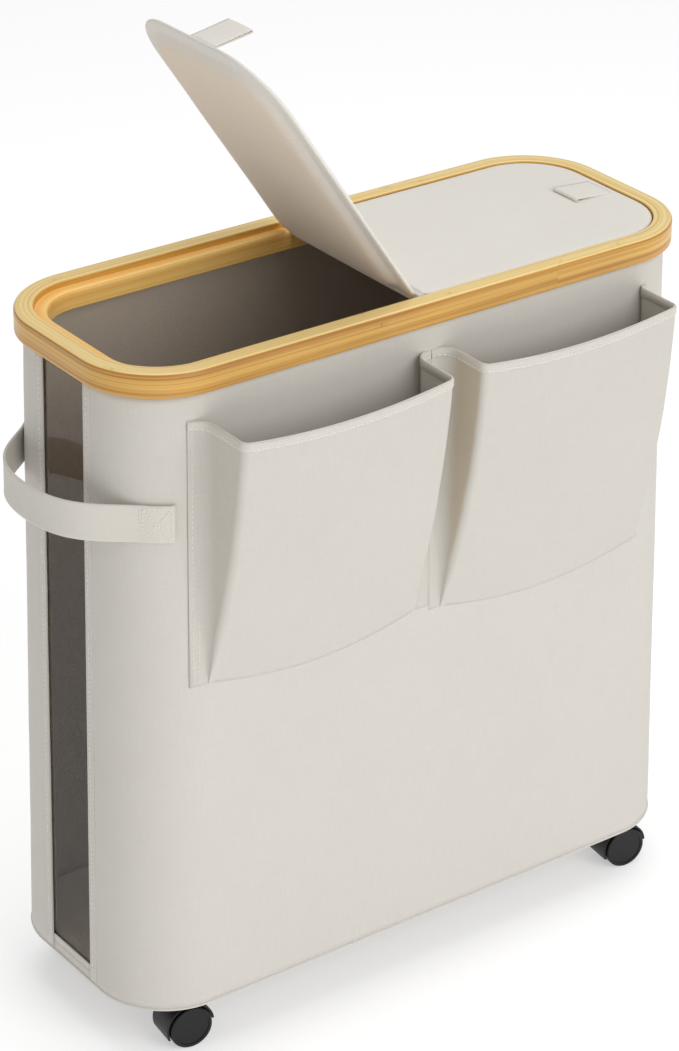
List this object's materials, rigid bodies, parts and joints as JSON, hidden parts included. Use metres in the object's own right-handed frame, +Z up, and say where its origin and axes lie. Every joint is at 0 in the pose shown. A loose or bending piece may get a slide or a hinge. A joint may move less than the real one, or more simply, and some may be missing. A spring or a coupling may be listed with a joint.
{
  "type": "slim rolling storage bin",
  "caption": "Slim fabric storage bin on castors with a bamboo rim, two hinged padded lids, a strip window, outside pockets and a carrying strap.",
  "frame": {"origin": "on the floor, under the middle of the body's footprint", "axes": "+Z up; +X along the body towards the closed end, away from the window and strap; the pockets are on the -Y side"},
  "size_m": [0.4581, 0.2065, 0.6386],
  "materials": {
    "bamboo": "laminated bamboo, clear satin lacquer",
    "cover_fabric": "fine plain-weave polyester, light greige",
    "strap_webbing": "folded fabric strap with stitched edges",
    "lining_fabric": "thin taupe non-woven lining",
    "underside_fabric": "coarse non-woven backing",
    "stiffener_board": "hollow polypropylene sheet, never seen",
    "base_fibreboard": "medium density fibreboard",
    "clear_film": "clear soft film, glossy",
    "foam": "low density foam, never seen",
    "castor_plastic": "black moulded nylon",
    "wheel_plastic": "black moulded wheel, satin",
    "steel": "zinc-plated steel"
  },
  "bodies": {
    "root": {"rim_band_left": "bamboo", "rim_band_right": "bamboo", "rim_ledge": "bamboo", "body_cover": "cover_fabric", "board_front": "stiffener_board", "board_back": "stiffener_board", "board_right_end": "stiffener_board", "board_left_front": "stiffener_board", "board_left_back": "stiffener_board", "lining": "lining_fabric", "window_film": "clear_film", "window_hem_front": "cover_fabric", "window_hem_back": "cover_fabric", "window_sill": "cover_fabric", "base_board": "base_fibreboard", "base_underside": "underside_fabric", "base_piping": "cover_fabric", "floor_pad": "lining_fabric", "handle_strap": "strap_webbing", "pocket_left_panel": "cover_fabric", "pocket_left_hem": "cover_fabric", "pocket_left_gusset_left": "cover_fabric", "pocket_left_gusset_right": "cover_fabric", "pocket_left_flanges": "cover_fabric", "pocket_right_panel": "cover_fabric", "pocket_right_hem": "cover_fabric", "pocket_right_gusset_left": "cover_fabric", "pocket_right_gusset_right": "cover_fabric", "pocket_right_flanges": "cover_fabric", "lid_spine": "cover_fabric", "castor_tee_nuts": "steel", "castor_stems": "steel", "castor_washers": "castor_plastic"},
    "lid_left": {"lid_left_cover": "cover_fabric", "lid_left_core": "stiffener_board", "lid_left_foam": "foam", "lid_left_tab": "cover_fabric"},
    "lid_right": {"lid_right_cover": "cover_fabric", "lid_right_core": "stiffener_board", "lid_right_foam": "foam", "lid_right_tab": "cover_fabric"},
    "castor_front_left_swivel": {"castor_front_left_hood": "castor_plastic", "castor_front_left_axle": "steel"},
    "castor_front_left_wheel_a": {"castor_front_left_wheel_a": "wheel_plastic"},
    "castor_front_left_wheel_b": {"castor_front_left_wheel_b": "wheel_plastic"},
    "castor_front_right_swivel": {"castor_front_right_hood": "castor_plastic", "castor_front_right_axle": "steel"},
    "castor_front_right_wheel_a": {"castor_front_right_wheel_a": "wheel_plastic"},
    "castor_front_right_wheel_b": {"castor_front_right_wheel_b": "wheel_plastic"},
    "castor_back_left_swivel": {"castor_back_left_hood": "castor_plastic", "castor_back_left_axle": "steel"},
    "castor_back_left_wheel_a": {"castor_back_left_wheel_a": "wheel_plastic"},
    "castor_back_left_wheel_b": {"castor_back_left_wheel_b": "wheel_plastic"},
    "castor_back_right_swivel": {"castor_back_right_hood": "castor_plastic", "castor_back_right_axle": "steel"},
    "castor_back_right_wheel_a": {"castor_back_right_wheel_a": "wheel_plastic"},
    "castor_back_right_wheel_b": {"castor_back_right_wheel_b": "wheel_plastic"}
  },
  "joints": [
    {"name": "lid_left_hinge", "type": "hinge", "parent": "root", "child": "lid_left", "pos_m": [-0.0026, 0, 0.4737], "axis": [0, 1, 0], "range_deg": [-56, 29]},
    {"name": "lid_right_hinge", "type": "hinge", "parent": "root", "child": "lid_right", "pos_m": [0.0026, 0, 0.4737], "axis": [0, -1, 0], "range_deg": [0, 85]},
    {"name": "castor_front_left_turn", "type": "hinge", "parent": "root", "child": "castor_front_left_swivel", "pos_m": [-0.179, -0.061, 0.0363], "axis": [0, 0, 1], "continuous": true},
    {"name": "castor_front_left_roll_a", "type": "hinge", "parent": "castor_front_left_swivel", "child": "castor_front_left_wheel_a", "pos_m": [-0.17404, -0.06161, 0.0145], "axis": [0.1219, 0.9925, 0], "continuous": true},
    {"name": "castor_front_left_roll_b", "type": "hinge", "parent": "castor_front_left_swivel", "child": "castor_front_left_wheel_b", "pos_m": [-0.17404, -0.06161, 0.0145], "axis": [0.1219, 0.9925, 0], "continuous": true},
    {"name": "castor_front_right_turn", "type": "hinge", "parent": "root", "child": "castor_front_right_swivel", "pos_m": [0.179, -0.061, 0.0363], "axis": [0, 0, 1], "continuous": true},
    {"name": "castor_front_right_roll_a", "type": "hinge", "parent": "castor_front_right_swivel", "child": "castor_front_right_wheel_a", "pos_m": [0.18396, -0.06161, 0.0145], "axis": [0.1219, 0.9925, 0], "continuous": true},
    {"name": "castor_front_right_roll_b", "type": "hinge", "parent": "castor_front_right_swivel", "child": "castor_front_right_wheel_b", "pos_m": [0.18396, -0.06161, 0.0145], "axis": [0.1219, 0.9925, 0], "continuous": true},
    {"name": "castor_back_left_turn", "type": "hinge", "parent": "root", "child": "castor_back_left_swivel", "pos_m": [-0.179, 0.061, 0.0363], "axis": [0, 0, 1], "continuous": true},
    {"name": "castor_back_left_roll_a", "type": "hinge", "parent": "castor_back_left_swivel", "child": "castor_back_left_wheel_a", "pos_m": [-0.17404, 0.06039, 0.0145], "axis": [0.1219, 0.9925, 0], "continuous": true},
    {"name": "castor_back_left_roll_b", "type": "hinge", "parent": "castor_back_left_swivel", "child": "castor_back_left_wheel_b", "pos_m": [-0.17404, 0.06039, 0.0145], "axis": [0.1219, 0.9925, 0], "continuous": true},
    {"name": "castor_back_right_turn", "type": "hinge", "parent": "root", "child": "castor_back_right_swivel", "pos_m": [0.179, 0.061, 0.0363], "axis": [0, 0, 1], "continuous": true},
    {"name": "castor_back_right_roll_a", "type": "hinge", "parent": "castor_back_right_swivel", "child": "castor_back_right_wheel_a", "pos_m": [0.18396, 0.06039, 0.0145], "axis": [0.1219, 0.9925, 0], "continuous": true},
    {"name": "castor_back_right_roll_b", "type": "hinge", "parent": "castor_back_right_swivel", "child": "castor_back_right_wheel_b", "pos_m": [0.18396, 0.06039, 0.0145], "axis": [0.1219, 0.9925, 0], "continuous": true}
  ]
}
